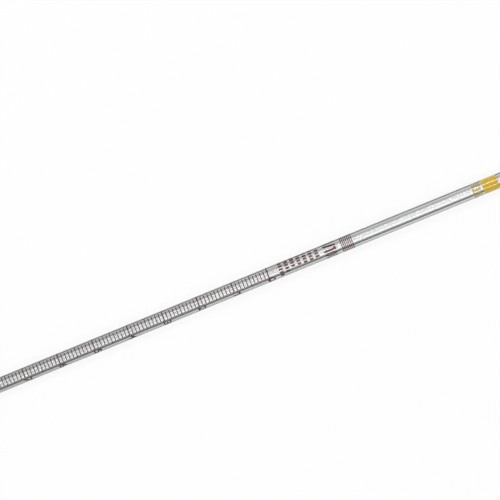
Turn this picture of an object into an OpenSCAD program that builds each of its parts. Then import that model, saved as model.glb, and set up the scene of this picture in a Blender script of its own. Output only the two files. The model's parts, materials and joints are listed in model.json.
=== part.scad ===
// Serological pipette, 1 ml in 1/100, for single use: a clear thick-walled tube drawn to a fine
// tip, with a printed scale, coloured code bands and a fibre filter in its mouth. Millimetres.
//
// It lies along X with its tip at -X and its mouth at +X, and rests on z = 0. The scale faces +Z.
// An angle on the barrel is counted from the top line. It is positive towards -Y, which is the
// right-hand side for a reader who holds the pipette with its tip down.

/* [Barrel] */
// Outside diameter of the barrel
barrel_od = 6; // [4.8:0.1:9]
// Diameter of the bore, which sets how far apart the scale lines stand
bore_d = 2.91; // [2:0.01:4]
// Rounding of the edges at the mouth
mouth_round = 0.5; // [0.1:0.05:0.7]

/* [Tip] */
// Outside diameter at the end of the tip
tip_od = 2.4; // [2.2:0.1:4]
// Diameter of the orifice
orifice_d = 1; // [0.5:0.05:1.6]
// Length of the straight stretch that the orifice runs through
orifice_len = 2.5; // [1:0.5:6]
// Length over which the barrel is drawn down to the tip
draw_len = 20; // [10:1:40]
// Rounding of the edges at the end of the tip
tip_round = 0.2; // [0.05:0.05:0.3]

/* [Scale] */
// Volume below the zero line, in cubic millimetres
capacity = 1000; // [500:100:1000]
// Lines in each numbered step
lines_per_step = 10; // [5:5:10]
// Width of a line
line_w = 0.4; // [0.1:0.02:0.5]
// Width of a numbered line
numbered_line_w = 0.54; // [0.15:0.03:0.69]
// Angle at which the lines start
line_start = -47; // [-60:1:-30]
// Angle at which the lines end
line_end = 20; // [5:1:22]
// How much further a half-way line reaches at each end, in degrees
half_way_extra = 13; // [4:1:20]
// How much sooner a numbered line starts, in degrees
numbered_extra_start = 25; // [8:1:40]
// How much later a numbered line ends, in degrees
numbered_extra_end = 4; // [0:1:8]
// Angle that the zero line covers
zero_sweep = 280; // [180:5:300]

/* [Numerals] */
// Height of a numeral
numeral_h = 3.3; // [2:0.1:4]
// Width of a numeral
numeral_w = 2.2; // [1.2:0.1:2.4]
// Width of its strokes
numeral_stroke = 0.6; // [0.2:0.02:0.7]
// Angle at the middle of a numeral and its point
numeral_angle = 46; // [44:1:75]
// How far the foot of a numeral lies below its line
numeral_drop = 0.8; // [0:0.1:1.5]

/* [Label] */
// From the zero line to the first row of the label
label_offset = 4.8; // [4.4:0.2:12]
// Rows of short bars
label_rows = 7; // [1:1:7]
// Height of a row
row_h = 1.6; // [0.8:0.1:2]
// Clear length between two rows
row_gap = 1; // [0.6:0.1:2]
// Clear length on each side of the ratio
ratio_gap = 2.2; // [0.8:0.1:3]
// Height of the ratio, one in a hundred
ratio_h = 5.2; // [3:0.1:6]
// Length of the lined field
field_len = 4.8; // [4:0.1:7]
// Angle that the label covers
label_sweep = 168; // [140:2:176]

/* [Code bands] */
// From the zero line to the pale band
band_offset = 88.3; // [70:0.1:110]
// Width of the pale band
pale_band_w = 3.5; // [1:0.1:6]
// Clear gap between the two bands
band_gap = 0.9; // [0.3:0.1:3]
// Width of the yellow band
yellow_band_w = 6.5; // [3:0.1:10]
// Thickness of the ink
ink_t = 0.05; // [0.03:0.01:0.08]

/* [Mouth] */
// From the yellow band to the end of the mouth
mouth_len = 21; // [18:1:40]
// Length of the fibre filter
filter_len = 13; // [6:1:14]
// How deep the filter sits in the mouth
filter_inset = 3.5; // [1:0.5:4]

/* [Hidden] */

$fn = 96;
PAST = 1;                // how far a cutting shape reaches past what it cuts
DRAW_STEPS = 20;         // cones that make up the drawn stretch
FILTER_SLACK = 0.02;     // between the filter and the bore
FILTER_ROUND = 0.5;      // rounding of the filter's ends
STEP_VOLUME = 100;       // a numbered step is a tenth of a millilitre
POINT_D = 0.35;          // width of a decimal point
POINT_GAP = 0.25;        // from a decimal point to its numeral

// The ratio's signs, and its strokes as a share of the room that each sign has.
RATIO = [1, "/", 1, 0, 0];
RATIO_STROKE = 0.3;
SIGN_SHARE = 0.85;       // of that room, what a sign covers
FIELD_LINES = 7;         // lines in the field, with gaps of their own width

// The label's rows: how many bars each has, and where it starts as a share of the label's angle.
ROW_BARS = [6, 5, 4, 4, 4, 4, 3];
ROW_STARTS = [0, 0.05, 0.05, 0.08, 0.1, 0.1, 0.22];
BAR_SWEEP = 16;
BAR_PITCH = 24;

barrel_r = barrel_od / 2;
bore_r = bore_d / 2;
tip_r = tip_od / 2;
orifice_r = orifice_d / 2;
axis_z = barrel_r + ink_t;
mouth_fillet = min(mouth_round, 0.45 * (barrel_r - bore_r));
tip_fillet = min(tip_round, 0.45 * (tip_r - orifice_r));

// The drawn stretch, and what the tip holds up to the straight bore.
function sum(v, i = 0) = i < len(v) ? v[i] + sum(v, i + 1) : 0;
function cone_volume(r1, r2, h) = PI * h * (r1 * r1 + r1 * r2 + r2 * r2) / 3;
function drawn_r(thin, thick, i) = thin + (thick - thin) * (1 - cos(180 * i / DRAW_STEPS)) / 2;
draw_volume = sum([
    for (i = [1:DRAW_STEPS])
        cone_volume(drawn_r(orifice_r, bore_r, i - 1), drawn_r(orifice_r, bore_r, i), draw_len / DRAW_STEPS)
]);
tip_volume = draw_volume + PI * orifice_r * orifice_r * orifice_len;

// The scale is volumetric. Its last numbered line is the lowest one on the straight bore.
bore_area = PI * bore_r * bore_r;
step_len = STEP_VOLUME / bore_area;
line_pitch = step_len / lines_per_step;
steps = floor((capacity - tip_volume) / STEP_VOLUME);
below_scale = (capacity - tip_volume) / bore_area - steps * step_len;

// Places along the pipette, with its middle at x = 0.
length = orifice_len + draw_len + below_scale + steps * step_len
    + band_offset + pale_band_w + band_gap + yellow_band_w + mouth_len;
tip_x = -length / 2;
mouth_x = length / 2;
draw_x = tip_x + orifice_len;
barrel_x = draw_x + draw_len;
zero_x = barrel_x + below_scale + steps * step_len;
label_x = zero_x + label_offset;
ratio_x = label_x + label_rows * (row_h + row_gap) - row_gap + ratio_gap;
field_x = ratio_x + ratio_h + ratio_gap;
field_line_w = field_len / (2 * FIELD_LINES - 1);
pale_band_x = zero_x + band_offset;
yellow_band_x = pale_band_x + pale_band_w + band_gap;

// Lays what stands along Z down along the pipette's axis.
module along_axis() {
    translate([0, 0, axis_z]) rotate([0, 90, 0]) children();
}

// Rounded end of a wall between two radii. Its face is at x and it reaches into the wall.
module wall_end(inner, outer, x, into, r) {
    for (c = [inner + r, outer - r]) translate([c, x + into * r]) circle(r);
    translate([inner + r, min(x, x + into * r)]) square([outer - inner - 2 * r, r]);
}

module tube_profile() {
    polygon(concat(
        [[orifice_r, tip_x + tip_fillet], [tip_r, tip_x + tip_fillet]],
        [for (i = [0:DRAW_STEPS]) [drawn_r(tip_r, barrel_r, i), draw_x + i * draw_len / DRAW_STEPS]],
        [[barrel_r, mouth_x - mouth_fillet], [bore_r, mouth_x - mouth_fillet]],
        [for (i = [DRAW_STEPS:-1:0]) [drawn_r(orifice_r, bore_r, i), draw_x + i * draw_len / DRAW_STEPS]]
    ));
    wall_end(orifice_r, tip_r, tip_x, 1, tip_fillet);
    wall_end(bore_r, barrel_r, mouth_x, -1, mouth_fillet);
}

// Field of ink on the barrel, from x for w towards the mouth, between two angles.
module ink_field(x, w, from, to) {
    along_axis()
        translate([0, 0, x])
            rotate(180 + from)
                rotate_extrude(angle = to - from)
                    translate([barrel_r, 0]) square([ink_t, w]);
}

// Ring of ink all round the barrel.
module ink_ring(x, w) {
    along_axis()
        translate([0, 0, x])
            rotate_extrude() translate([barrel_r, 0]) square([ink_t, w]);
}

// Bar that stands up from a flat drawing laid on the barrel. The drawing's foot is at x, its top
// is towards the mouth and its middle is at the angle.
module stamp(x, angle) {
    translate([x, 0, axis_z])
        rotate([angle, 0, 0])
            rotate([0, 0, -90])
                linear_extrude(barrel_r + PAST) children();
}

// What the stamps leave in the layer of ink, from x for w towards the mouth.
module stamped(x, w) {
    intersection() {
        ink_ring(x - PAST, w + 2 * PAST);
        union() children();
    }
}

// Straight stroke with square ends, which reach half its width past both points.
module stroke(from, to, s) {
    run = to - from;
    translate(from)
        rotate(atan2(run.y, run.x))
            translate([-s / 2, -s / 2]) square([norm(run) + s, s]);
}

// Round stroke that closes on itself.
module loop(centre, r, s) {
    translate(centre)
        difference() {
            circle(r = r + s / 2);
            circle(r = r - s / 2);
        }
}

// Part of a round stroke, from angle a to angle b.
module bend(centre, r, a, b, s) {
    intersection() {
        loop(centre, r, s);
        translate(centre)
            polygon([[0, 0], for (k = [0:8]) let (t = a + (b - a) * k / 8) 2 * (r + s) * [cos(t), sin(t)]]);
    }
}

// Numeral of width w and height h in strokes of width s, with the middle of its foot at [0, 0].
module numeral(n, w, h, s) {
    r = (w - s) / 2;
    low = s / 2;
    top = h - s / 2;
    q = (top - low) / 4;
    if (n == 0) {
        bend([0, top - r], r, 0, 180, s);
        bend([0, low + r], r, 180, 360, s);
        for (side = [-r, r]) stroke([side, low + r], [side, top - r], s);
    } else if (n == 1) {
        stroke([r / 3, low], [r / 3, top], s);
        stroke([r / 3, top], [-r, top - r], s);
    } else if (n == 2) {
        bend([0, top - r], r, -30, 165, s);
        stroke([r * cos(30), top - 1.5 * r], [-r, low], s);
        stroke([-r, low], [r, low], s);
    } else if (n == 3) {
        bend([0, top - q], q, -90, 140, s);
        bend([0, low + q], q, -140, 90, s);
    } else if (n == 4) {
        stroke([r / 2, low], [r / 2, top], s);
        stroke([r / 2, top], [-r, low + r], s);
        stroke([-r, low + r], [r, low + r], s);
    } else if (n == 5) {
        bend([0, low + r], r, -140, 130, s);
        stroke(r * [cos(130), sin(130)] + [0, low + r], [-0.6 * r, top], s);
        stroke([-0.6 * r, top], [0.9 * r, top], s);
    } else if (n == 6) {
        loop([0, low + r], r, s);
        stroke(r * [cos(160), sin(160)] + [0, low + r], [0.5 * r, top], s);
    } else if (n == 7) {
        stroke([-r, top], [r, top], s);
        stroke([r, top], [-r / 3, low], s);
    } else if (n == 8) {
        loop([0, top - q], q, s);
        loop([0, low + q], q, s);
    } else if (n == 9) {
        loop([0, top - r], r, s);
        stroke(r * [cos(-20), sin(-20)] + [0, top - r], [-0.5 * r, low], s);
    } else if (n == "/") {
        stroke([-r, low], [r, top], s);
    }
}

// Number of tenths, with the decimal point on its left. Zero has no point.
module tenths(n) {
    side = n > 0 ? (POINT_D + POINT_GAP) / 2 : 0;
    translate([side, 0]) numeral(n, numeral_w, numeral_h, numeral_stroke);
    if (n > 0) translate([-numeral_w / 2 - POINT_GAP / 2, POINT_D / 2]) circle(d = POINT_D);
}

module tube() {
    color([0.86, 0.9, 0.9, 0.35]) along_axis() rotate_extrude() tube_profile();
}

module filter_plug() {
    r = bore_r - FILTER_SLACK;
    color("white")
        along_axis()
            translate([0, 0, mouth_x - filter_inset - filter_len])
                rotate_extrude() {
                    square([r - FILTER_ROUND, filter_len]);
                    translate([0, FILTER_ROUND]) square([r, filter_len - 2 * FILTER_ROUND]);
                    for (y = [FILTER_ROUND, filter_len - FILTER_ROUND])
                        translate([r - FILTER_ROUND, y]) circle(FILTER_ROUND);
                }
}

// Scale line i, counted from zero, with its middle at its true volume.
module scale_line(i) {
    numbered = i % lines_per_step == 0;
    half_way = i % lines_per_step == 5;
    w = numbered ? numbered_line_w : line_w;
    from = i == 0 ? -zero_sweep / 2
        : line_start - (numbered ? numbered_extra_start : half_way ? half_way_extra : 0);
    to = i == 0 ? zero_sweep / 2
        : line_end + (numbered ? numbered_extra_end : half_way ? half_way_extra : 0);
    ink_field(zero_x - i * line_pitch - w / 2, w, from, to);
}

module graduation_lines() {
    color([0.45, 0.28, 0.28])
        for (i = [0:steps * lines_per_step]) scale_line(i);
}

module scale_numerals() {
    color([0.45, 0.28, 0.28])
        for (n = [0:steps]) {
            x = zero_x - n * step_len - numeral_drop;
            stamped(x, numeral_h) stamp(x, numeral_angle) tenths(n);
        }
}

// Rows of short bars, the ratio, and a lined field.
module label_print() {
    sign_room = barrel_r * label_sweep * PI / 180 / len(RATIO);
    color([0.42, 0.25, 0.26]) {
        for (row = [0:label_rows - 1], bar = [0:ROW_BARS[row] - 1]) {
            from = label_sweep * (ROW_STARTS[row] - 0.5) + bar * BAR_PITCH;
            ink_field(label_x + row * (row_h + row_gap), row_h, from, from + BAR_SWEEP);
        }
        stamped(ratio_x, ratio_h)
            for (k = [0:len(RATIO) - 1])
                stamp(ratio_x, label_sweep * ((k + 0.5) / len(RATIO) - 0.5))
                    numeral(RATIO[k], SIGN_SHARE * sign_room, ratio_h, RATIO_STROKE * sign_room);
        for (k = [0:FIELD_LINES - 1])
            ink_field(field_x + 2 * k * field_line_w, field_line_w, -label_sweep / 2, label_sweep / 2);
    }
}

module pale_band() {
    color([0.95, 0.88, 0.66, 0.8]) ink_ring(pale_band_x, pale_band_w);
}

module yellow_band() {
    color([0.86, 0.66, 0.2]) ink_ring(yellow_band_x, yellow_band_w);
}

tube();
filter_plug();
graduation_lines();
scale_numerals();
label_print();
pale_band();
yellow_band();
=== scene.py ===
"""Serological pipette, 1 ml in 1/100: the clear drawn tube, its fibre filter, the printed scale,
numerals and label, the two code bands, and a plain pale stage with lamps and a camera.

Lengths are in metres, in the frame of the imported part: X runs along the pipette from the tip to
the mouth, Z is up, and the scale faces up. An angle on the barrel is counted from its top line
and is positive towards -Y.
"""

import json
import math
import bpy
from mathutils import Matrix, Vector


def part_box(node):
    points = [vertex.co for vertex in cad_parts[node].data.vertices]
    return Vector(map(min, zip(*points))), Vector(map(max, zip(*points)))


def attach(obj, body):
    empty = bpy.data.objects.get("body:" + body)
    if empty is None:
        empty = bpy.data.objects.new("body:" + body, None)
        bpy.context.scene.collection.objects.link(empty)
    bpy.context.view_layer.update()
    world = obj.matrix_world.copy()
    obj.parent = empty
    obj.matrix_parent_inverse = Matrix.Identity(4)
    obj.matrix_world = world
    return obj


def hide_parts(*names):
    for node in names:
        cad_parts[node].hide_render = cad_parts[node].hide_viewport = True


bl_info = {
    "name": "Serological Pipette",
    "version": (1, 0, 0),
    "blender": (4, 5, 0),
    "location": "View3D > Sidebar > Pipette",
    "description": "Builds a graduated serological pipette around its packed construction",
    "category": "Add Mesh",
}

import bmesh
import bpy
from mathutils import Matrix, Vector, noise

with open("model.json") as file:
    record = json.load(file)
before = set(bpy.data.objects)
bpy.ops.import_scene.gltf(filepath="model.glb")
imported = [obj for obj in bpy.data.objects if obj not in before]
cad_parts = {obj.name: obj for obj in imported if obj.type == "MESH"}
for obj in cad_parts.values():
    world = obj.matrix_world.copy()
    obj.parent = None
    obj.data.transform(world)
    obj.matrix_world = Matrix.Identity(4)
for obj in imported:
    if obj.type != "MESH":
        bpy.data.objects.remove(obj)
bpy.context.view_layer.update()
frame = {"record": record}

MM = 0.001
BODY = "root"

# Points this close together are one point.
SAME_PLACE = 0.0001 * MM

# Short bars in each row of the label, and where the row starts, as a share of the label's sweep.
LABEL_ROWS = ((6, 0), (5, 0.05), (4, 0.05), (4, 0.08), (4, 0.1), (4, 0.1), (3, 0.22))

# The label's ratio, and how much of its own room each of its signs fills across.
RATIO = "1/100"
SIGN_SHARE = 0.85

# At a size of 1: height of the font's numerals, width of their strokes, and distance at which
# two points of an outline are one.
FONT_HEIGHT = 0.69
FONT_STROKE = 0.098
FONT_SAME_PLACE = 1e-5

# Angle of the flats that wrapped print has round the barrel.
WRAP_STEP = math.radians(4)

# Rounding of a code band's edges, as a share of its thickness.
BAND_ROUNDING = 0.4

# Fibres on the filter: the largest turn, the smallest and largest size, and the bend as a share
# of half a fibre's length.
FIBRE_TURN = 6.283
FIBRE_SIZES = (0.5, 1.3)
FIBRE_BEND = 0.6

# How the lit panel that glass sees darkens: to +Y or -Y, from one slope to another, by how much.
PANEL_STEPS = (
    (1, -0.12, 0.35, 0.34),
    (1, 0.4, 1.3, 0.14),
    (-1, 0.25, 0.5, 0.55),
    (-1, 0.6, 0.95, 0.2),
)

# Half the floor's side. Seen through glass, the floor has painted shade: it darkens to this colour
# towards the tip, from one side of its middle to the other.
FLOOR_REACH = 3
FLOOR_PAINTED_SHADE = (0.7, 0.71, 0.72)
FLOOR_FADE = 0.12

# Length, width and distance of a lamp.
LAMP_LENGTH = 1.2
LAMP_WIDTH = 0.22
LAMP_DISTANCE = 0.9

# Width of the camera's sensor, in millimetres, and how far the camera sees.
SENSOR_WIDTH = 36
CAMERA_REACH = 100

MOUNTS = {mount["name"]: mount for mount in frame["record"]["mounts"]}
TUBE_LOW, TUBE_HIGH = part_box("tube")
LINES_LOW, LINES_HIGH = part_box("graduation_lines")
LABEL_LOW, LABEL_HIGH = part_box("label_print")
PALE_LOW, PALE_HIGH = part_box("pale_band")
YELLOW_LOW, YELLOW_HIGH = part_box("yellow_band")
FILTER_LOW, FILTER_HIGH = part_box("filter_plug")

AXIS_Z = (TUBE_LOW[2] + TUBE_HIGH[2]) / 2
BARREL_R = MOUNTS["mouth_grip"]["dims"]["r_mm"] * MM
ORIFICE_R = MOUNTS["tip_orifice"]["dims"]["r_mm"] * MM
FILTER_R = (FILTER_HIGH[1] - FILTER_LOW[1]) / 2


# ---------------------------------------------------------------- sizes and colours


def length(name, description, default):
    """Setting of a length, in metres."""
    return bpy.props.FloatProperty(
        name=name, description=description, default=default, min=0, precision=5, unit="LENGTH"
    )


def angle(name, description, degrees):
    """Setting of an angle. Its default is given in degrees and kept in radians."""
    return bpy.props.FloatProperty(
        name=name, description=description, default=math.radians(degrees), subtype="ANGLE"
    )


def amount(name, description, default):
    """Setting of a plain number."""
    return bpy.props.FloatProperty(name=name, description=description, default=default)


def colour(name, description, default):
    """Setting of a colour in red, green and blue."""
    return bpy.props.FloatVectorProperty(
        name=name, description=description, default=default, size=3, min=0, max=1, subtype="COLOR"
    )


class TubeSettings(bpy.types.PropertyGroup):
    """The tube's sizes and colour. Its outside and length come from the construction."""

    bore_radius: length("Bore radius", "Inner radius of the barrel", 1.455 * MM)
    tip_radius: length("Tip radius", "Outer radius at the end of the tip", 1.2 * MM)
    orifice_length: length("Orifice length", "Straight stretch at the end of the tip", 2.5 * MM)
    draw_length: length("Draw length", "Stretch that is drawn down to the tip", 20 * MM)
    mouth_round: length("Mouth rounding", "Rounding of the edges at the mouth", 0.5 * MM)
    tip_round: length("Tip rounding", "Rounding of the edges at the tip", 0.2 * MM)
    sides: bpy.props.IntProperty(name="Sides", description="Faces round the tube", default=128)
    tint: colour("Tint", "Colour of the clear plastic", (0.985, 0.995, 0.99))


class ScaleSettings(bpy.types.PropertyGroup):
    """The scale's lines, and the ink of all the printing."""

    steps: bpy.props.IntProperty(name="Steps", description="Numbered steps", default=9)
    lines_per_step: bpy.props.IntProperty(
        name="Lines per step", description="Lines in each numbered step", default=10
    )
    line_width: length("Line width", "Width of a line", 0.4 * MM)
    numbered_width: length("Numbered width", "Width of a numbered line", 0.54 * MM)
    start: angle("Start", "Angle at which the lines start", -47)
    end: angle("End", "Angle at which the lines end", 20)
    half_way_extra: angle("Half-way extra", "How much further a half-way line reaches", 13)
    numbered_start: angle("Numbered start", "How much sooner a numbered line starts", 25)
    numbered_end: angle("Numbered end", "How much later a numbered line ends", 4)
    zero_sweep: angle("Zero sweep", "Angle that the zero line covers", 280)
    ink_thickness: length("Ink thickness", "How far the ink stands off the barrel", 0.02 * MM)
    ink_sink: length("Ink sink", "How far the ink reaches into the barrel", 0.01 * MM)
    ink: colour("Ink", "Colour of the ink", (0.06, 0.026, 0.024))
    # This lighter, redder ink is also a painted highlight: brown_print paints it along the barrel's
    # crest, as well as in random thin patches.
    thin_ink: colour("Thin ink", "Colour of the ink where it is thin, on the crest", (0.2, 0.08, 0.075))


class NumeralSettings(bpy.types.PropertyGroup):
    """The scale's numerals. At this height, the outline of an 8 breaks from a stroke of 0.7 mm."""

    height: length("Height", "Height of a numeral", 3.3 * MM)
    width: length("Width", "Width of a numeral", 2.2 * MM)
    stroke: length("Stroke", "Width of a numeral's strokes", 0.68 * MM)
    point: length("Point", "Width of a decimal point", 0.35 * MM)
    point_gap: length("Point gap", "From a decimal point to its numeral", 0.25 * MM)
    middle: angle("Middle", "Angle at the middle of a numeral and its point", 46)
    drop: length("Drop", "How far a numeral's foot lies below its line", 0.8 * MM)


class LabelSettings(bpy.types.PropertyGroup):
    """The label's rows of short bars, its ratio and its lined field."""

    row_height: length("Row height", "Height of a row of short bars", 1.6 * MM)
    row_gap: length("Row gap", "Clear gap between two rows", 1 * MM)
    bar_sweep: angle("Bar sweep", "Angle that a short bar covers", 16)
    bar_pitch: angle("Bar pitch", "Angle from one short bar to the next", 24)
    bar_corner: length("Bar corner", "Rounding of a short bar's corners", 0.2 * MM)
    ratio_height: length("Ratio height", "Height of the ratio's numerals", 5.2 * MM)
    ratio_gap: length("Ratio gap", "Clear gap between the ratio and the lined field", 2.2 * MM)
    ratio_stroke: length("Ratio stroke", "Width of its strokes", 0.85 * MM)
    field_length: length("Field length", "Length of the lined field", 4.8 * MM)
    field_lines: bpy.props.IntProperty(name="Field lines", description="Lines in the field", default=7)
    field_corner: length("Field corner", "Rounding of the corners of the field's lines", 0.1 * MM)
    sweep: angle("Sweep", "Angle that the label covers", 168)


class BandSettings(bpy.types.PropertyGroup):
    """The two code bands."""

    pale: colour("Pale", "Colour of the pale band", (1.0, 0.93, 0.66))
    pale_through: amount("Pale through", "Share of light that the pale band lets through", 0.9)
    yellow: colour("Yellow", "Colour of the yellow band", (0.95, 0.63, 0.02))
    yellow_through: amount("Yellow through", "Share of light that the yellow band lets through", 0.35)


class FilterSettings(bpy.types.PropertyGroup):
    """The filter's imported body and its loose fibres."""

    fibres: bpy.props.IntProperty(name="Fibres", description="Loose fibres on the filter", default=1400)
    fibre_length: length("Fibre length", "Length of a loose fibre", 1.1 * MM)
    fibre_radius: length("Fibre radius", "Radius of a loose fibre", 0.012 * MM)
    lump: length("Lump", "Unevenness of the packed body", 0.06 * MM)
    seed: bpy.props.IntProperty(name="Seed", description="Seed of the fibres' places", default=7)
    white: colour("White", "Colour of the fibre", (0.95, 0.95, 0.93))


class StageSettings(bpy.types.PropertyGroup):
    """View, lamps, floor and surroundings."""

    view_width: length("View width", "Width of what the camera sees", 200 * MM)
    view_turn: angle("View turn", "How far the pipette is turned in the view", 22.28)
    view_x: amount("View X", "Middle of the view along the pipette, in metres", 18.3 * MM)
    view_y: amount("View Y", "Middle of the view across the pipette, in metres", 12.04 * MM)
    lens: amount("Lens", "Focal length of the camera, in millimetres", 400)
    lamp_power: amount("Lamp power", "Power of the lamp on the side of -Y, in watts", 4.2)
    far_share: amount("Far share", "Power of the lamp on the side of +Y, as a share", 0.6)
    lamp_lean: angle("Lamp lean", "How far each lamp leans from straight above", 32)
    floor: colour("Floor", "Colour of the floor", (0.92, 0.92, 0.92))
    floor_glow: amount("Floor glow", "Share of plain white in the floor that is seen", 0.88)
    sky: amount("Sky", "Brightness of the surroundings above the floor", 0.45)
    panel: amount("Panel", "Brightness of the lit panel that glass sees below it", 0.9)


SETTINGS = {
    "tube": TubeSettings,
    "scale": ScaleSettings,
    "numerals": NumeralSettings,
    "label": LabelSettings,
    "bands": BandSettings,
    "plug": FilterSettings,
    "stage": StageSettings,
}


class PipetteSettings(bpy.types.PropertyGroup):
    """All sizes and colours of the pipette, one group for each kind of piece."""

    __annotations__ = {
        name: bpy.props.PointerProperty(type=group) for name, group in SETTINGS.items()
    }


# ---------------------------------------------------------------- node trees


class Value:
    """An output of a node. Maths on it adds Math nodes to its tree."""

    def __init__(self, graph, socket):
        self.graph = graph
        self.socket = socket

    def __add__(self, other):
        return self.graph.maths("ADD", self, other)

    def __sub__(self, other):
        return self.graph.maths("SUBTRACT", self, other)

    def __mul__(self, other):
        return self.graph.maths("MULTIPLY", self, other)

    def __truediv__(self, other):
        return self.graph.maths("DIVIDE", self, other)

    def __radd__(self, other):
        return self.graph.maths("ADD", other, self)

    def __rsub__(self, other):
        return self.graph.maths("SUBTRACT", other, self)

    def __rmul__(self, other):
        return self.graph.maths("MULTIPLY", other, self)

    def __rtruediv__(self, other):
        return self.graph.maths("DIVIDE", other, self)

    def __neg__(self):
        return self.graph.maths("MULTIPLY", self, -1)


class Outputs:
    """The outputs of a node, by name or by number."""

    def __init__(self, graph, node):
        self.graph = graph
        self.node = node

    def __getitem__(self, key):
        return Value(self.graph, self.node.outputs[key])


class Graph:
    """Adds nodes to one tree, and links them."""

    def __init__(self, tree):
        self.tree = tree

    def add(self, kind, settings=None, inputs=None):
        """Adds a node. Its settings come first, then its inputs' links or values."""
        node = self.tree.nodes.new(kind)
        for name, setting in (settings or {}).items():
            setattr(node, name, setting)
        for key, given in (inputs or {}).items():
            if isinstance(given, Value):
                self.tree.links.new(given.socket, node.inputs[key])
            else:
                node.inputs[key].default_value = given
        return Outputs(self, node)

    def maths(self, operation, *operands):
        """Result of a Math node."""
        return self.add("ShaderNodeMath", {"operation": operation}, dict(enumerate(operands)))[0]

    def mix(self, factor, first, second):
        """Blend of two colours."""
        made = self.add(
            "ShaderNodeMix",
            {"data_type": "RGBA"},
            {"Factor": factor, 6: as_colour(first), 7: as_colour(second)},
        )
        return made[2]

    def ramp(self, value, low, high):
        """Value mapped smoothly from low..high to 0..1, and held there."""
        made = self.add(
            "ShaderNodeMapRange",
            {"interpolation_type": "SMOOTHSTEP"},
            {"Value": value, "From Min": low, "From Max": high},
        )
        return made["Result"]

    def vector(self, x, y, z):
        """Vector of three numbers."""
        return self.add("ShaderNodeCombineXYZ", None, {0: x, 1: y, 2: z})[0]


def as_colour(given):
    """A link as it is, or red, green and blue with full cover."""
    return given if isinstance(given, Value) else (*given[:3], 1)


class Finish(Graph):
    """A material's tree, with its pattern coordinates."""

    def __init__(self, name):
        self.material = bpy.data.materials.new(name)
        self.material.use_nodes = True
        super().__init__(self.material.node_tree)
        self.tree.nodes.clear()
        self.place = self.add("ShaderNodeTexCoord")["Object"]

    def noise(self, scale, detail=3, along=1, roughness=0.5):
        """Noise with so many lumps a metre, drawn out along the pipette when along is under 1."""
        stretched = self.add(
            "ShaderNodeMapping", None, {"Vector": self.place, "Scale": (along, 1, 1)}
        )[0]
        made = self.add(
            "ShaderNodeTexNoise",
            None,
            {"Vector": stretched, "Scale": scale, "Detail": detail, "Roughness": roughness},
        )
        return made["Fac"]

    def bump(self, height, strength, distance):
        """Normal of a surface that rises by a distance where height goes from 0 to 1."""
        made = self.add(
            "ShaderNodeBump", None, {"Height": height, "Strength": strength, "Distance": distance}
        )
        return made["Normal"]

    def principled(self, inputs):
        """Ends the tree in a Principled BSDF."""
        shader = self.add("ShaderNodeBsdfPrincipled", None, inputs)["BSDF"]
        self.add("ShaderNodeOutputMaterial", None, {"Surface": shader})
        return self.material


class Modifier(Graph):
    """A Geometry Nodes tree with named inputs."""

    def __init__(self, name, inputs):
        group = bpy.data.node_groups.new(name, "GeometryNodeTree")
        super().__init__(group)
        group.interface.new_socket("Geometry", in_out="INPUT", socket_type="NodeSocketGeometry")
        group.interface.new_socket("Geometry", in_out="OUTPUT", socket_type="NodeSocketGeometry")
        self.identifiers = {}
        for label, kind in inputs.items():
            item = group.interface.new_socket(label, in_out="INPUT", socket_type="NodeSocket" + kind)
            self.identifiers[label] = item.identifier
        self.given = self.add("NodeGroupInput")

    def position(self):
        """The three coordinates of each point."""
        here = self.add("GeometryNodeInputPosition")[0]
        parts = self.add("ShaderNodeSeparateXYZ", None, {0: here})
        return parts["X"], parts["Y"], parts["Z"]

    def random(self, low, high, seed):
        """Random number for each point."""
        made = self.add(
            "FunctionNodeRandomValue", {"data_type": "FLOAT"}, {"Min": low, "Max": high, "Seed": seed}
        )
        return made["Value"]

    def end(self, geometry):
        """Realizes the instances, sets the material and ends the tree."""
        real = self.add("GeometryNodeRealizeInstances", None, {"Geometry": geometry})[0]
        dressed = self.add(
            "GeometryNodeSetMaterial", None, {"Geometry": real, "Material": self.given["Material"]}
        )[0]
        self.add("NodeGroupOutput", None, {"Geometry": dressed})

    def run(self, name, mesh, values):
        """Runs the tree on a mesh and gives its result as a plain object."""
        piece = bpy.data.objects.new(name, mesh)
        bpy.context.scene.collection.objects.link(piece)
        modifier = piece.modifiers.new(self.tree.name, "NODES")
        modifier.node_group = self.tree
        for label, value in values.items():
            modifier[self.identifiers[label]] = value
        evaluated = piece.evaluated_get(bpy.context.evaluated_depsgraph_get())
        made = bpy.data.meshes.new_from_object(evaluated)
        piece.modifiers.remove(modifier)
        piece.data = made
        made.name = name
        return piece


# ---------------------------------------------------------------- meshes


def piece_from(bm, name, material, smooth_under=None):
    """Plain object from a bmesh, shaded smooth where faces meet under an angle."""
    mesh = bpy.data.meshes.new(name)
    bmesh.ops.recalc_face_normals(bm, faces=bm.faces)
    bm.to_mesh(mesh)
    bm.free()
    mesh.materials.append(material)
    piece = bpy.data.objects.new(name, mesh)
    bpy.context.scene.collection.objects.link(piece)
    if smooth_under is not None:
        mesh.set_sharp_from_angle(angle=smooth_under)
        for face in mesh.polygons:
            face.use_smooth = True
    return piece


def settle(piece, node):
    """Rides the piece on the part's body in place of its node."""
    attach(piece, BODY)
    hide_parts(node)


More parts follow.
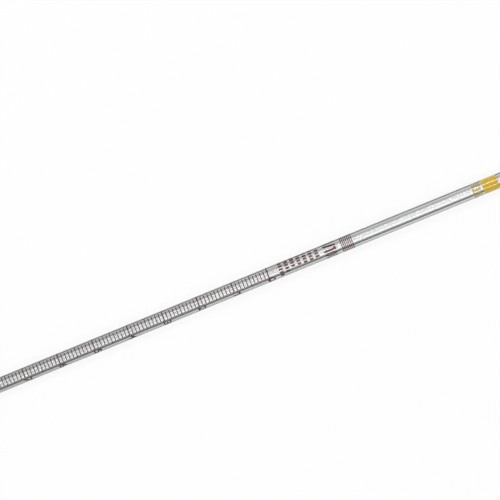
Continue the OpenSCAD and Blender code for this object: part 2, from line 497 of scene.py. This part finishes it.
def lathe_tree():
    """Turns a closed profile, drawn in X and Y, round the pipette's axis."""
    tree = Modifier("Lathe", {"Sides": "Int", "Axis Height": "Float", "Material": "Material"})
    given = tree.given
    count = tree.add(
        "GeometryNodeAttributeDomainSize", None, {"Geometry": given["Geometry"]}
    )["Point Count"]
    rows = count + 1
    grid = tree.add(
        "GeometryNodeMeshGrid", None, {"Vertices X": given["Sides"] + 1, "Vertices Y": rows}
    )["Mesh"]
    index = tree.add("GeometryNodeInputIndex")[0]
    column = tree.maths("FLOOR", (index + 0.5) / rows)
    row = tree.maths("MODULO", index - column * rows, count)
    profile_place = tree.add("GeometryNodeInputPosition")[0]
    point = tree.add(
        "GeometryNodeSampleIndex",
        {"data_type": "FLOAT_VECTOR", "domain": "POINT"},
        {"Geometry": given["Geometry"], "Value": profile_place, "Index": row},
    )["Value"]
    parts = tree.add("ShaderNodeSeparateXYZ", None, {0: point})
    turn = column * (2 * math.pi) / given["Sides"]
    place = tree.vector(
        parts["X"],
        parts["Y"] * tree.maths("SINE", turn),
        parts["Y"] * tree.maths("COSINE", turn) + given["Axis Height"],
    )
    turned = tree.add("GeometryNodeSetPosition", None, {"Geometry": grid, "Position": place})[0]
    closed = tree.add(
        "GeometryNodeMergeByDistance", None, {"Geometry": turned, "Distance": SAME_PLACE}
    )[0]
    smooth = tree.add("GeometryNodeSetShadeSmooth", None, {"Geometry": closed, "Shade Smooth": True})[0]
    tree.end(smooth)
    return tree


def lathe(name, profile, sides, material):
    """Turns a closed profile of (x, radius) points round the axis."""
    mesh = bpy.data.meshes.new(name)
    mesh.from_pydata([(x, r, 0) for x, r in profile], [], [])
    values = {"Sides": sides, "Axis Height": AXIS_Z, "Material": material}
    piece = lathe_tree().run(name, mesh, values)
    bm = bmesh.new()
    bm.from_mesh(piece.data)
    bmesh.ops.recalc_face_normals(bm, faces=bm.faces)
    bm.to_mesh(piece.data)
    bm.free()
    return piece


def rounded_end(x, inner, outer, into, radius, steps=8):
    """Points from the inner wall round a wall's end to its outer wall."""
    turns = [math.pi / 2 * k / steps for k in range(steps + 1)]
    cx = x + into * radius
    ends = [(cx - into * radius * math.sin(t), radius * math.cos(t)) for t in turns]
    inside = [(end, inner + radius - rise) for end, rise in ends]
    outside = [(end, outer - radius + rise) for end, rise in ends]
    return inside + outside[::-1]


def drawn(start, run, thin, thick, steps=48):
    """Points of a wall that widens from thin to thick without a corner."""
    shares = [k / steps for k in range(1, steps)]
    return [(start + run * u, thin + (thick - thin) * (1 - math.cos(math.pi * u)) / 2) for u in shares]


def tube_profile(s):
    """Closed outline of the tube's wall: round its tip, along its outside, and back through its bore."""
    tip_x, mouth_x = TUBE_LOW[0], TUBE_HIGH[0]
    draw_x = tip_x + s.orifice_length
    return (
        rounded_end(tip_x, ORIFICE_R, s.tip_radius, 1, s.tip_round)
        + [(draw_x, s.tip_radius)]
        + drawn(draw_x, s.draw_length, s.tip_radius, BARREL_R)
        + [(draw_x + s.draw_length, BARREL_R)]
        + rounded_end(mouth_x, s.bore_radius, BARREL_R, -1, s.mouth_round)[::-1]
        + [(draw_x + s.draw_length, s.bore_radius)]
        + drawn(draw_x, s.draw_length, ORIFICE_R, s.bore_radius)[::-1]
        + [(draw_x, ORIFICE_R)]
    )


# ---------------------------------------------------------------- finishes


def clear_plastic(s):
    """Clear polystyrene: faint lines along the draw, and a slightly uneven gloss."""
    finish = Finish("clear_polystyrene")
    streaks = finish.noise(2200, detail=1, along=0.003)
    haze = finish.noise(160, detail=4, along=0.4)
    return finish.principled(
        {
            "Base Color": (*s.tint, 1),
            "Roughness": 0.04 + 0.03 * finish.ramp(haze, 0.45, 0.75),
            "IOR": 1.59,
            "Transmission Weight": 1.0,
            "Normal": finish.bump(streaks, 0.03, 0.01 * MM),
        }
    )


def brown_print(s):
    """Screen-printed ink with a fine grain, redder in random thin patches. Along the barrel's crest it
    is painted lighter and redder, a painted highlight.
    """
    if "brown_print" in bpy.data.materials:
        return bpy.data.materials["brown_print"]
    finish = Finish("brown_print")
    place = finish.add("ShaderNodeSeparateXYZ", None, {0: finish.place})
    across = finish.maths("ABSOLUTE", place["Y"] / BARREL_R)
    # Painted highlight: the ink is painted lighter and redder along the top of the barrel, fading
    # towards the sides.
    crest = finish.ramp(place["Z"], AXIS_Z, AXIS_Z + BARREL_R) * (1 - finish.ramp(across, 0.1, 0.5))
    patches = finish.ramp(finish.noise(900, detail=4), 0.35, 0.7)
    grain = finish.noise(9000, detail=2)
    return finish.principled(
        {
            "Base Color": finish.mix(crest * 0.8 + patches * 0.15, tuple(s.ink), tuple(s.thin_ink)),
            "Roughness": 0.25 + 0.2 * grain,
            "Normal": finish.bump(grain, 0.2, 0.01 * MM),
        }
    )


def band_ink(name, ink, through):
    """Translucent coloured ink, brushed round the barrel."""
    finish = Finish(name)
    streaks = finish.noise(1500, detail=3, along=3)
    deep = [c * 0.9 for c in ink]
    return finish.principled(
        {
            "Base Color": finish.mix(finish.ramp(streaks, 0.3, 0.7), deep, tuple(ink)),
            "Roughness": 0.06 + 0.06 * streaks,
            "IOR": 1.6,
            "Transmission Weight": through,
            "Coat Weight": 0.7,
            "Coat Roughness": 0.05,
            "Normal": finish.bump(streaks, 0.06, 0.01 * MM),
        }
    )


def fibre(s):
    """White packed fibre."""
    finish = Finish("filter_fibre")
    strands = finish.noise(5000, detail=4, along=0.35)
    shade = [c * 0.82 for c in s.white]
    return finish.principled(
        {
            "Base Color": finish.mix(finish.ramp(strands, 0.35, 0.65), shade, tuple(s.white)),
            "Roughness": 0.85 + 0.1 * strands,
            "Normal": finish.bump(strands, 0.8, 0.1 * MM),
        }
    )


# ---------------------------------------------------------------- printing


def lines_tree():
    """Scale lines, laid out flat from the zero line and then wrapped round the barrel."""
    lengths = ["Pitch", "Line Width", "Numbered Width", "Ink Thickness", "Ink Sink"]
    angles = ["Start", "End", "Half-way Extra", "Numbered Start", "Numbered End", "Zero Sweep"]
    places = ["Zero X", "Barrel Radius", "Axis Height"]
    tree = Modifier(
        "Graduation Lines",
        {"Lines": "Int", "Lines per Step": "Int"}
        | {name: "Float" for name in lengths + angles + places}
        | {"Material": "Material"},
    )
    given = tree.given
    index = tree.add("GeometryNodeInputIndex")[0]
    place_in_step = tree.maths("MODULO", index, given["Lines per Step"])
    numbered = tree.maths("LESS_THAN", place_in_step, 0.5)
    half_way = tree.maths("COMPARE", place_in_step * 2, given["Lines per Step"], 0.5)
    zero = tree.maths("LESS_THAN", index, 0.5)
    width = given["Line Width"] + numbered * (given["Numbered Width"] - given["Line Width"])
    start = given["Start"] - half_way * given["Half-way Extra"] - numbered * given["Numbered Start"]
    end = given["End"] + half_way * given["Half-way Extra"] + numbered * given["Numbered End"]
    start = start + zero * (given["Zero Sweep"] * -0.5 - start)
    end = end + zero * (given["Zero Sweep"] * 0.5 - end)
    thickness = given["Ink Thickness"] + given["Ink Sink"]

    # A line has many points along its length, so that it wraps smoothly.
    points_round = 40
    row = tree.add(
        "GeometryNodeMeshLine",
        {"mode": "OFFSET"},
        {"Count": given["Lines"], "Offset": tree.vector(-given["Pitch"], 0, 0)},
    )["Mesh"]
    middle = tree.vector(0, (start + end) / 2, thickness / 2 - given["Ink Sink"])
    row = tree.add("GeometryNodeSetPosition", None, {"Geometry": row, "Offset": middle})[0]
    bar = tree.add(
        "GeometryNodeMeshCube",
        None,
        {"Vertices X": 2, "Vertices Y": points_round, "Vertices Z": 2, "Size": (1, 1, 1)},
    )["Mesh"]
    bars = tree.add(
        "GeometryNodeInstanceOnPoints",
        None,
        {"Points": row, "Instance": bar, "Scale": tree.vector(width, end - start, thickness)},
    )[0]
    flat = tree.add("GeometryNodeRealizeInstances", None, {"Geometry": bars})[0]
    x, turn, height = tree.position()
    radius = given["Barrel Radius"] + height
    place = tree.vector(
        given["Zero X"] + x,
        -radius * tree.maths("SINE", turn),
        given["Axis Height"] + radius * tree.maths("COSINE", turn),
    )
    tree.end(tree.add("GeometryNodeSetPosition", None, {"Geometry": flat, "Position": place})[0])
    return tree


def outline_slab(points, thickness):
    """Flat solid of an outline."""
    bm = bmesh.new()
    base = bm.faces.new([bm.verts.new((x, y, 0)) for x, y in points])
    made = bmesh.ops.extrude_face_region(bm, geom=[base])["geom"]
    raised = [each for each in made if isinstance(each, bmesh.types.BMVert)]
    bmesh.ops.translate(bm, verts=raised, vec=(0, 0, thickness))
    bmesh.ops.remove_doubles(bm, verts=bm.verts, dist=SAME_PLACE)
    return bm


def rounded_slab(left, right, low, high, corner, thickness, steps=4):
    """Flat solid of a rectangle with rounded corners."""
    rim = []
    for cx, cy, first in (
        (right - corner, high - corner, 0),
        (left + corner, high - corner, 90),
        (left + corner, low + corner, 180),
        (right - corner, low + corner, 270),
    ):
        for step in range(steps + 1):
            turn = math.radians(first + step * 90 / steps)
            rim.append((cx + corner * math.cos(turn), cy + corner * math.sin(turn)))
    return outline_slab(rim, thickness)


def one_slab(height, width, stroke, thickness):
    """Flat solid of a one. Its flag falls a little less steeply than 45 degrees."""
    left = -width / 2
    stem = (width - stroke) / 6 - stroke / 2
    fall = (stem - left) * 0.85
    depth = stroke * 1.15
    return outline_slab(
        [
            (stem, 0),
            (stem + stroke, 0),
            (stem + stroke, height),
            (stem, height),
            (left, height - fall),
            (left, height - fall - depth),
            (stem, height - depth),
        ],
        thickness,
    )


def slash_slab(height, width, stroke, thickness):
    """Flat solid of a slash."""
    edge = width / 2
    return outline_slab(
        [(-edge, 0), (stroke - edge, 0), (edge, height), (edge - stroke, height)], thickness
    )


def sign_slab(sign, height, width, stroke, thickness):
    """Flat solid of a numeral or a slash, with the middle of its foot at the origin."""
    if sign == "1":
        return one_slab(height, width, stroke, thickness)
    if sign == "/":
        return slash_slab(height, width, stroke, thickness)
    curve = bpy.data.curves.new(sign, "FONT")
    curve.body = sign
    curve.offset = max(0, stroke / height * FONT_HEIGHT - FONT_STROKE) / 2
    curve.extrude = 0.5
    holder = bpy.data.objects.new(sign, curve)
    bpy.context.scene.collection.objects.link(holder)
    evaluated = holder.evaluated_get(bpy.context.evaluated_depsgraph_get())
    mesh = bpy.data.meshes.new_from_object(evaluated)
    bm = bmesh.new()
    bm.from_mesh(mesh)
    bpy.data.objects.remove(holder)
    bpy.data.curves.remove(curve)
    bpy.data.meshes.remove(mesh)
    bmesh.ops.remove_doubles(bm, verts=bm.verts, dist=FONT_SAME_PLACE)
    xs = [v.co.x for v in bm.verts]
    ys = [v.co.y for v in bm.verts]
    left, low = min(xs), min(ys)
    wide, tall = max(xs) - left, max(ys) - low
    for v in bm.verts:
        v.co.x = ((v.co.x - left) / wide - 0.5) * width
        v.co.y = (v.co.y - low) / tall * height
        v.co.z = (v.co.z + 0.5) * thickness
    return bm


def wrap(bm, foot_x, middle, s):
    """Lays a flat solid on the barrel: its right towards -Y, its top towards the mouth."""
    reach = max(abs(v.co.x) for v in bm.verts)
    step = BARREL_R * WRAP_STEP
    count = int(reach / step)
    for k in range(-count, count + 1):
        everything = bm.verts[:] + bm.edges[:] + bm.faces[:]
        bmesh.ops.bisect_plane(bm, geom=everything, plane_co=(k * step, 0, 0), plane_no=(1, 0, 0))
    for v in bm.verts:
        turn = middle + v.co.x / BARREL_R
        radius = BARREL_R - s.ink_sink + v.co.z
        v.co = (
            foot_x + v.co.y,
            -radius * math.sin(turn),
            AXIS_Z + radius * math.cos(turn),
        )
    return bm


def gather(bms):
    """One bmesh from several, which are used up."""
    whole = bmesh.new()
    for bm in bms:
        part = bpy.data.meshes.new("part")
        bm.to_mesh(part)
        bm.free()
        whole.from_mesh(part)
        bpy.data.meshes.remove(part)
    return whole


# ---------------------------------------------------------------- operators


class PIPETTE_OT_tube(bpy.types.Operator):
    """Clear tube, drawn down to its tip"""

    bl_idname = "pipette.tube"
    bl_label = "Tube"

    def execute(self, context):
        s = context.scene.pipette.tube
        piece = lathe("clear_tube", tube_profile(s), s.sides, clear_plastic(s))
        settle(piece, "tube")
        return {"FINISHED"}


class PIPETTE_OT_lines(bpy.types.Operator):
    """Printed lines of the scale"""

    bl_idname = "pipette.lines"
    bl_label = "Scale lines"

    def execute(self, context):
        s = context.scene.pipette.scale
        lines = s.steps * s.lines_per_step
        run = LINES_HIGH[0] - LINES_LOW[0] - s.numbered_width
        values = {
            "Lines": lines + 1,
            "Lines per Step": s.lines_per_step,
            "Pitch": run / lines,
            "Line Width": s.line_width,
            "Numbered Width": s.numbered_width,
            "Ink Thickness": s.ink_thickness,
            "Ink Sink": s.ink_sink,
            "Start": s.start,
            "End": s.end,
            "Half-way Extra": s.half_way_extra,
            "Numbered Start": s.numbered_start,
            "Numbered End": s.numbered_end,
            "Zero Sweep": s.zero_sweep,
            "Zero X": LINES_HIGH[0] - s.numbered_width / 2,
            "Barrel Radius": BARREL_R,
            "Axis Height": AXIS_Z,
            "Material": brown_print(s),
        }
        empty = bpy.data.meshes.new("lines")
        piece = lines_tree().run("printed_lines", empty, values)
        settle(piece, "graduation_lines")
        return {"FINISHED"}


class PIPETTE_OT_numerals(bpy.types.Operator):
    """Printed numerals of the scale"""

    bl_idname = "pipette.numerals"
    bl_label = "Numerals"

    def execute(self, context):
        s = context.scene.pipette.scale
        n = context.scene.pipette.numerals
        zero_x = LINES_HIGH[0] - s.numbered_width / 2
        step = (LINES_HIGH[0] - LINES_LOW[0] - s.numbered_width) / s.steps
        thickness = s.ink_thickness + s.ink_sink
        slabs = []
        for k in range(s.steps + 1):
            foot = zero_x - k * step - n.drop
            flat = sign_slab(str(k), n.height, n.width, n.stroke, thickness)
            # Every numeral but the 0 has its decimal point before it.
            if k:
                side = (n.point + n.point_gap) / 2
                bmesh.ops.translate(flat, verts=flat.verts, vec=(side, 0, 0))
                middle = -(n.width + n.point_gap) / 2
                ends = middle - n.point / 2, middle + n.point / 2
                point = rounded_slab(*ends, 0, n.point, n.point / 2, thickness)
                slabs.append(wrap(point, foot, n.middle, s))
            slabs.append(wrap(flat, foot, n.middle, s))
        piece = piece_from(gather(slabs), "printed_numerals", brown_print(s))
        settle(piece, "scale_numerals")
        return {"FINISHED"}


class PIPETTE_OT_label(bpy.types.Operator):
    """Label of short bars, the scale's ratio, and a lined field"""

    bl_idname = "pipette.label"
    bl_label = "Label"

    def execute(self, context):
        s = context.scene.pipette.scale
        n = context.scene.pipette.label
        thickness = s.ink_thickness + s.ink_sink
        left = -n.sweep / 2 * BARREL_R
        slabs = []
        for row, (bars, start) in enumerate(LABEL_ROWS):
            foot = LABEL_LOW[0] + row * (n.row_height + n.row_gap)
            for bar in range(bars):
                first = left + (n.sweep * start + n.bar_pitch * bar) * BARREL_R
                last = first + n.bar_sweep * BARREL_R
                flat = rounded_slab(first, last, 0, n.row_height, n.bar_corner, thickness)
                slabs.append(wrap(flat, foot, 0, s))
        field_x = LABEL_HIGH[0] - n.field_length
        ratio_x = field_x - n.ratio_gap - n.ratio_height
        room = n.sweep / len(RATIO)
        width = SIGN_SHARE * room * BARREL_R
        for k, sign in enumerate(RATIO):
            flat = sign_slab(sign, n.ratio_height, width, n.ratio_stroke, thickness)
            slabs.append(wrap(flat, ratio_x, room * (k + 0.5) - n.sweep / 2, s))
        line = n.field_length / (2 * n.field_lines - 1)
        for k in range(n.field_lines):
            flat = rounded_slab(left, -left, 0, line, n.field_corner, thickness)
            slabs.append(wrap(flat, field_x + 2 * k * line, 0, s))
        piece = piece_from(gather(slabs), "printed_label", brown_print(s))
        settle(piece, "label_print")
        return {"FINISHED"}


class PIPETTE_OT_filter(bpy.types.Operator):
    """Fibre filter inside the mouth"""

    bl_idname = "pipette.filter"
    bl_label = "Fibre filter"

    def execute(self, context):
        s = context.scene.pipette.plug
        core = plug_core(s)
        values = {
            "Fibres": s.fibres,
            "Fibre Length": s.fibre_length,
            "Fibre Radius": s.fibre_radius,
            "Limit Radius": FILTER_R,
            "Low X": FILTER_LOW[0],
            "High X": FILTER_HIGH[0],
            "Axis Height": AXIS_Z,
            "Seed": s.seed,
            "Material": fibre(s),
        }
        piece = fibres_tree().run("fibre_filter", core, values)
        settle(piece, "filter_plug")
        return {"FINISHED"}


def plug_core(s):
    """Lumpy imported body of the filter, with blunt ends."""
    turns, rows = 64, 90
    lumps_along, lumps_round, end_lumps = 700, 1.3, 2.1
    softness, finer, layers = 0.9, 2, 4
    middle = (FILTER_LOW[0] + FILTER_HIGH[0]) / 2
    half = (FILTER_HIGH[0] - FILTER_LOW[0]) / 2 - s.lump
    body = FILTER_R - s.fibre_radius * 2 - s.lump
    bm = bmesh.new()
    rings = []
    for row in range(1, rows):
        share = -math.cos(math.pi * row / rows)
        rim = (1 - abs(share) ** 14) ** (1 / 3)
        ring = []
        for k in range(turns):
            turn = 2 * math.pi * k / turns
            sideways, upwards = math.cos(turn) * lumps_round, math.sin(turn) * lumps_round
            across = Vector((share * half * lumps_along, sideways, upwards))
            radius = body * rim + s.lump * noise.fractal(across, softness, finer, layers)
            x = middle + share * half + s.lump * noise.noise(across * end_lumps) * (1 - rim)
            ring.append(bm.verts.new((x, -radius * math.sin(turn), AXIS_Z + radius * math.cos(turn))))
        rings.append(ring)
    for ring, after in zip(rings, rings[1:]):
        for k in range(turns):
            bm.faces.new((ring[k], after[k], after[k - 1], ring[k - 1]))
    for ring, x in ((rings[0], middle - half), (rings[-1], middle + half)):
        pole = bm.verts.new((x, 0, AXIS_Z))
        for k in range(turns):
            bm.faces.new((ring[k], ring[k - 1], pole))
    bmesh.ops.recalc_face_normals(bm, faces=bm.faces)
    mesh = bpy.data.meshes.new("plug_core")
    bm.to_mesh(mesh)
    bm.free()
    return mesh


def fibres_tree():
    """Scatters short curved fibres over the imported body, and keeps them inside the bore."""
    sizes = ["Fibre Length", "Fibre Radius", "Limit Radius", "Low X", "High X", "Axis Height"]
    tree = Modifier(
        "Filter Fibres",
        {"Fibres": "Int", "Seed": "Int"} | {name: "Float" for name in sizes} | {"Material": "Material"},
    )
    given = tree.given
    body = tree.add(
        "GeometryNodeSetShadeSmooth", None, {"Geometry": given["Geometry"], "Shade Smooth": True}
    )[0]
    face = tree.add("GeometryNodeInputMeshFaceArea")["Area"]
    whole = tree.add(
        "GeometryNodeAttributeStatistic", {"domain": "FACE"}, {"Geometry": body, "Attribute": face}
    )["Sum"]
    spots = tree.add(
        "GeometryNodeDistributePointsOnFaces",
        {"distribute_method": "RANDOM"},
        {"Mesh": body, "Density": given["Fibres"] / whole, "Seed": given["Seed"]},
    )
    half = given["Fibre Length"] / 2
    arc = tree.add(
        "GeometryNodeCurveQuadraticBezier",
        None,
        {
            "Resolution": 6,
            "Start": tree.vector(-half, 0, 0),
            "Middle": tree.vector(0, half * FIBRE_BEND, given["Fibre Radius"] * 2),
            "End": tree.vector(half, 0, 0),
        },
    )["Curve"]
    rim = tree.add(
        "GeometryNodeCurvePrimitiveCircle", None, {"Resolution": 4, "Radius": given["Fibre Radius"]}
    )["Curve"]
    strand = tree.add(
        "GeometryNodeCurveToMesh", None, {"Curve": arc, "Profile Curve": rim, "Fill Caps": True}
    )["Mesh"]
    spin = tree.random(0.0, FIBRE_TURN, given["Seed"])
    turned = tree.add(
        "FunctionNodeRotateRotation",
        {"rotation_space": "LOCAL"},
        {"Rotation": spots["Rotation"], "Rotate By": tree.vector(0, 0, spin)},
    )["Rotation"]
    size = tree.random(*FIBRE_SIZES, given["Seed"])
    laid = tree.add(
        "GeometryNodeInstanceOnPoints",
        None,
        {"Points": spots["Points"], "Instance": strand, "Rotation": turned, "Scale": size},
    )[0]
    loose = tree.add("GeometryNodeRealizeInstances", None, {"Geometry": laid})[0]
    x, y, z = tree.position()
    height = z - given["Axis Height"]
    # A point on the axis itself would divide by zero.
    least = 0.1 * MM
    radius = tree.maths("MAXIMUM", tree.maths("SQRT", y * y + height * height), least)
    share = tree.maths("MINIMUM", given["Limit Radius"] / radius, 1)
    along = tree.maths("MAXIMUM", tree.maths("MINIMUM", x, given["High X"]), given["Low X"])
    place = tree.vector(along, y * share, given["Axis Height"] + height * share)
    held = tree.add("GeometryNodeSetPosition", None, {"Geometry": loose, "Position": place})[0]
    both = tree.add("GeometryNodeJoinGeometry", None, {"Geometry": body})
    tree.tree.links.new(held.socket, both.node.inputs["Geometry"])
    tree.end(both["Geometry"])
    return tree


class PIPETTE_OT_bands(bpy.types.Operator):
    """Pale and yellow code bands round the barrel"""

    bl_idname = "pipette.bands"
    bl_label = "Code bands"

    def execute(self, context):
        s = context.scene.pipette.bands
        scale = context.scene.pipette.scale
        sides = context.scene.pipette.tube.sides
        bands = (
            ("pale_ring", "pale_band", "pale_ink", PALE_LOW, PALE_HIGH),
            ("yellow_ring", "yellow_band", "yellow_ink", YELLOW_LOW, YELLOW_HIGH),
        )
        inks = (s.pale, s.pale_through), (s.yellow, s.yellow_through)
        for (name, node, slot, low, high), (ink, through) in zip(bands, inks):
            outer = (high[2] - low[2]) / 2
            inner = BARREL_R - scale.ink_sink
            edge = BAND_ROUNDING * (outer - inner)
            start = rounded_end(low[0], inner, outer, 1, edge, steps=3)
            stop = rounded_end(high[0], inner, outer, -1, edge, steps=3)[::-1]
            piece = lathe(name, start + stop, sides, band_ink(name, ink, through))
            settle(piece, node)
        return {"FINISHED"}


class PIPETTE_OT_stage(bpy.types.Operator):
    """Floor, lamps, surroundings and camera"""

    bl_idname = "pipette.stage"
    bl_label = "Stage"

    def execute(self, context):
        s = context.scene.pipette.stage
        make_floor(s)
        make_world(context.scene, s)
        make_lamp(s, "near_lamp", -1, s.lamp_power)
        make_lamp(s, "far_lamp", 1, s.lamp_power * s.far_share)
        make_camera(context.scene, s)
        context.scene.view_settings.view_transform = "Standard"
        return {"FINISHED"}


def make_floor(s):
    """Pale floor that is white to the eye and in reflections, and that glass looks through, with painted
    shade that darkens it towards the tip.
    """
    bm = bmesh.new()
    bmesh.ops.create_grid(bm, x_segments=1, y_segments=1, size=FLOOR_REACH)
    finish = Finish("floor")
    path = finish.add("ShaderNodeLightPath")
    seen = finish.maths("MAXIMUM", path["Is Camera Ray"], path["Is Glossy Ray"])
    lit = finish.add("ShaderNodeBsdfDiffuse", None, {"Color": (*s.floor, 1)})[0]
    white = finish.add("ShaderNodeEmission", None, {"Color": (1, 1, 1, 1), "Strength": 1})[0]
    surface = finish.add("ShaderNodeMixShader", None, {0: seen * s.floor_glow, 1: lit, 2: white})[0]
    # Painted shade: seen through glass, the floor is darker towards the tip.
    x = finish.add("ShaderNodeSeparateXYZ", None, {0: finish.place})["X"]
    along = finish.ramp(x, -FLOOR_FADE, FLOOR_FADE)
    clear = finish.add(
        "ShaderNodeBsdfTransparent", None, {"Color": finish.mix(along, FLOOR_PAINTED_SHADE, (1, 1, 1))}
    )[0]
    shown = finish.add(
        "ShaderNodeMixShader", None, {0: path["Is Transmission Ray"], 1: surface, 2: clear}
    )[0]
    finish.add("ShaderNodeOutputMaterial", None, {"Surface": shown})
    floor = piece_from(bm, "floor", finish.material)


def make_world(scene, s):
    """White surroundings to the eye. Glass sees a lit panel below it, and greyer sides."""
    world = bpy.data.worlds.new("surroundings")
    world.use_nodes = True
    scene.world = world
    graph = Graph(world.node_tree)
    graph.tree.nodes.clear()
    direction = graph.add("ShaderNodeTexCoord")["Generated"]
    parts = graph.add("ShaderNodeSeparateXYZ", None, {0: direction})
    below = graph.maths("LESS_THAN", parts["Z"], 0)
    nearly_level = 0.02
    slope = parts["Y"] / graph.maths("MAXIMUM", -parts["Z"], nearly_level)
    panel = s.panel
    for side, low, high, drop in PANEL_STEPS:
        panel = panel - graph.ramp(slope * side, low, high) * drop
    strength = s.sky + below * (panel - s.sky)
    path = graph.add("ShaderNodeLightPath")
    strength = strength + path["Is Camera Ray"] * (1 - strength)
    light = graph.add("ShaderNodeBackground", None, {"Color": (1, 1, 1, 1), "Strength": strength})[0]
    graph.add("ShaderNodeOutputWorld", None, {"Surface": light})


def make_lamp(s, name, side, power):
    """Long soft lamp over one side of the pipette."""
    light = bpy.data.lights.new(name, "AREA")
    light.shape = "RECTANGLE"
    light.size = LAMP_LENGTH
    light.size_y = LAMP_WIDTH
    light.energy = power
    lamp = bpy.data.objects.new(name, light)
    lean = side * s.lamp_lean
    away = Vector((0, -math.sin(lean), math.cos(lean)))
    lamp.location = away * LAMP_DISTANCE
    lamp.rotation_mode = "QUATERNION"
    lamp.rotation_quaternion = away.to_track_quat("Z", "Y")
    bpy.context.scene.collection.objects.link(lamp)


def make_camera(scene, s):
    """Camera straight above the pipette, turned so that the tip is lower in the view."""
    data = bpy.data.cameras.new("camera")
    data.lens = s.lens
    data.sensor_width = SENSOR_WIDTH
    camera = bpy.data.objects.new("camera", data)
    scene.collection.objects.link(camera)
    height = s.view_width * s.lens / SENSOR_WIDTH
    place = Matrix.Translation((s.view_x, s.view_y, AXIS_Z + height))
    camera.matrix_world = place @ Matrix.Rotation(-s.view_turn, 4, "Z")
    data.clip_end = CAMERA_REACH
    scene.camera = camera


OPERATORS = (
    PIPETTE_OT_tube,
    PIPETTE_OT_filter,
    PIPETTE_OT_lines,
    PIPETTE_OT_numerals,
    PIPETTE_OT_label,
    PIPETTE_OT_bands,
    PIPETTE_OT_stage,
)


class PIPETTE_PT_pieces(bpy.types.Panel):
    """Lists the pieces of the pipette, with their sizes and colours"""

    bl_label = "Pipette"
    bl_idname = "PIPETTE_PT_pieces"
    bl_space_type = "VIEW_3D"
    bl_region_type = "UI"
    bl_category = "Pipette"

    def draw(self, context):
        for each in OPERATORS:
            self.layout.operator(each.bl_idname)
        for name, group in SETTINGS.items():
            box = self.layout.box()
            box.label(text=name.capitalize())
            for key in group.__annotations__:
                box.prop(getattr(context.scene.pipette, name), key)


CLASSES = (*SETTINGS.values(), PipetteSettings, *OPERATORS, PIPETTE_PT_pieces)


def register():
    for each in CLASSES:
        bpy.utils.register_class(each)
    bpy.types.Scene.pipette = bpy.props.PointerProperty(type=PipetteSettings)


def unregister():
    del bpy.types.Scene.pipette
    for each in reversed(CLASSES):
        bpy.utils.unregister_class(each)


def main():
    register()
    for each in OPERATORS:
        getattr(bpy.ops.pipette, each.bl_idname.split(".")[1])()


if __name__ == "__main__":
    main()
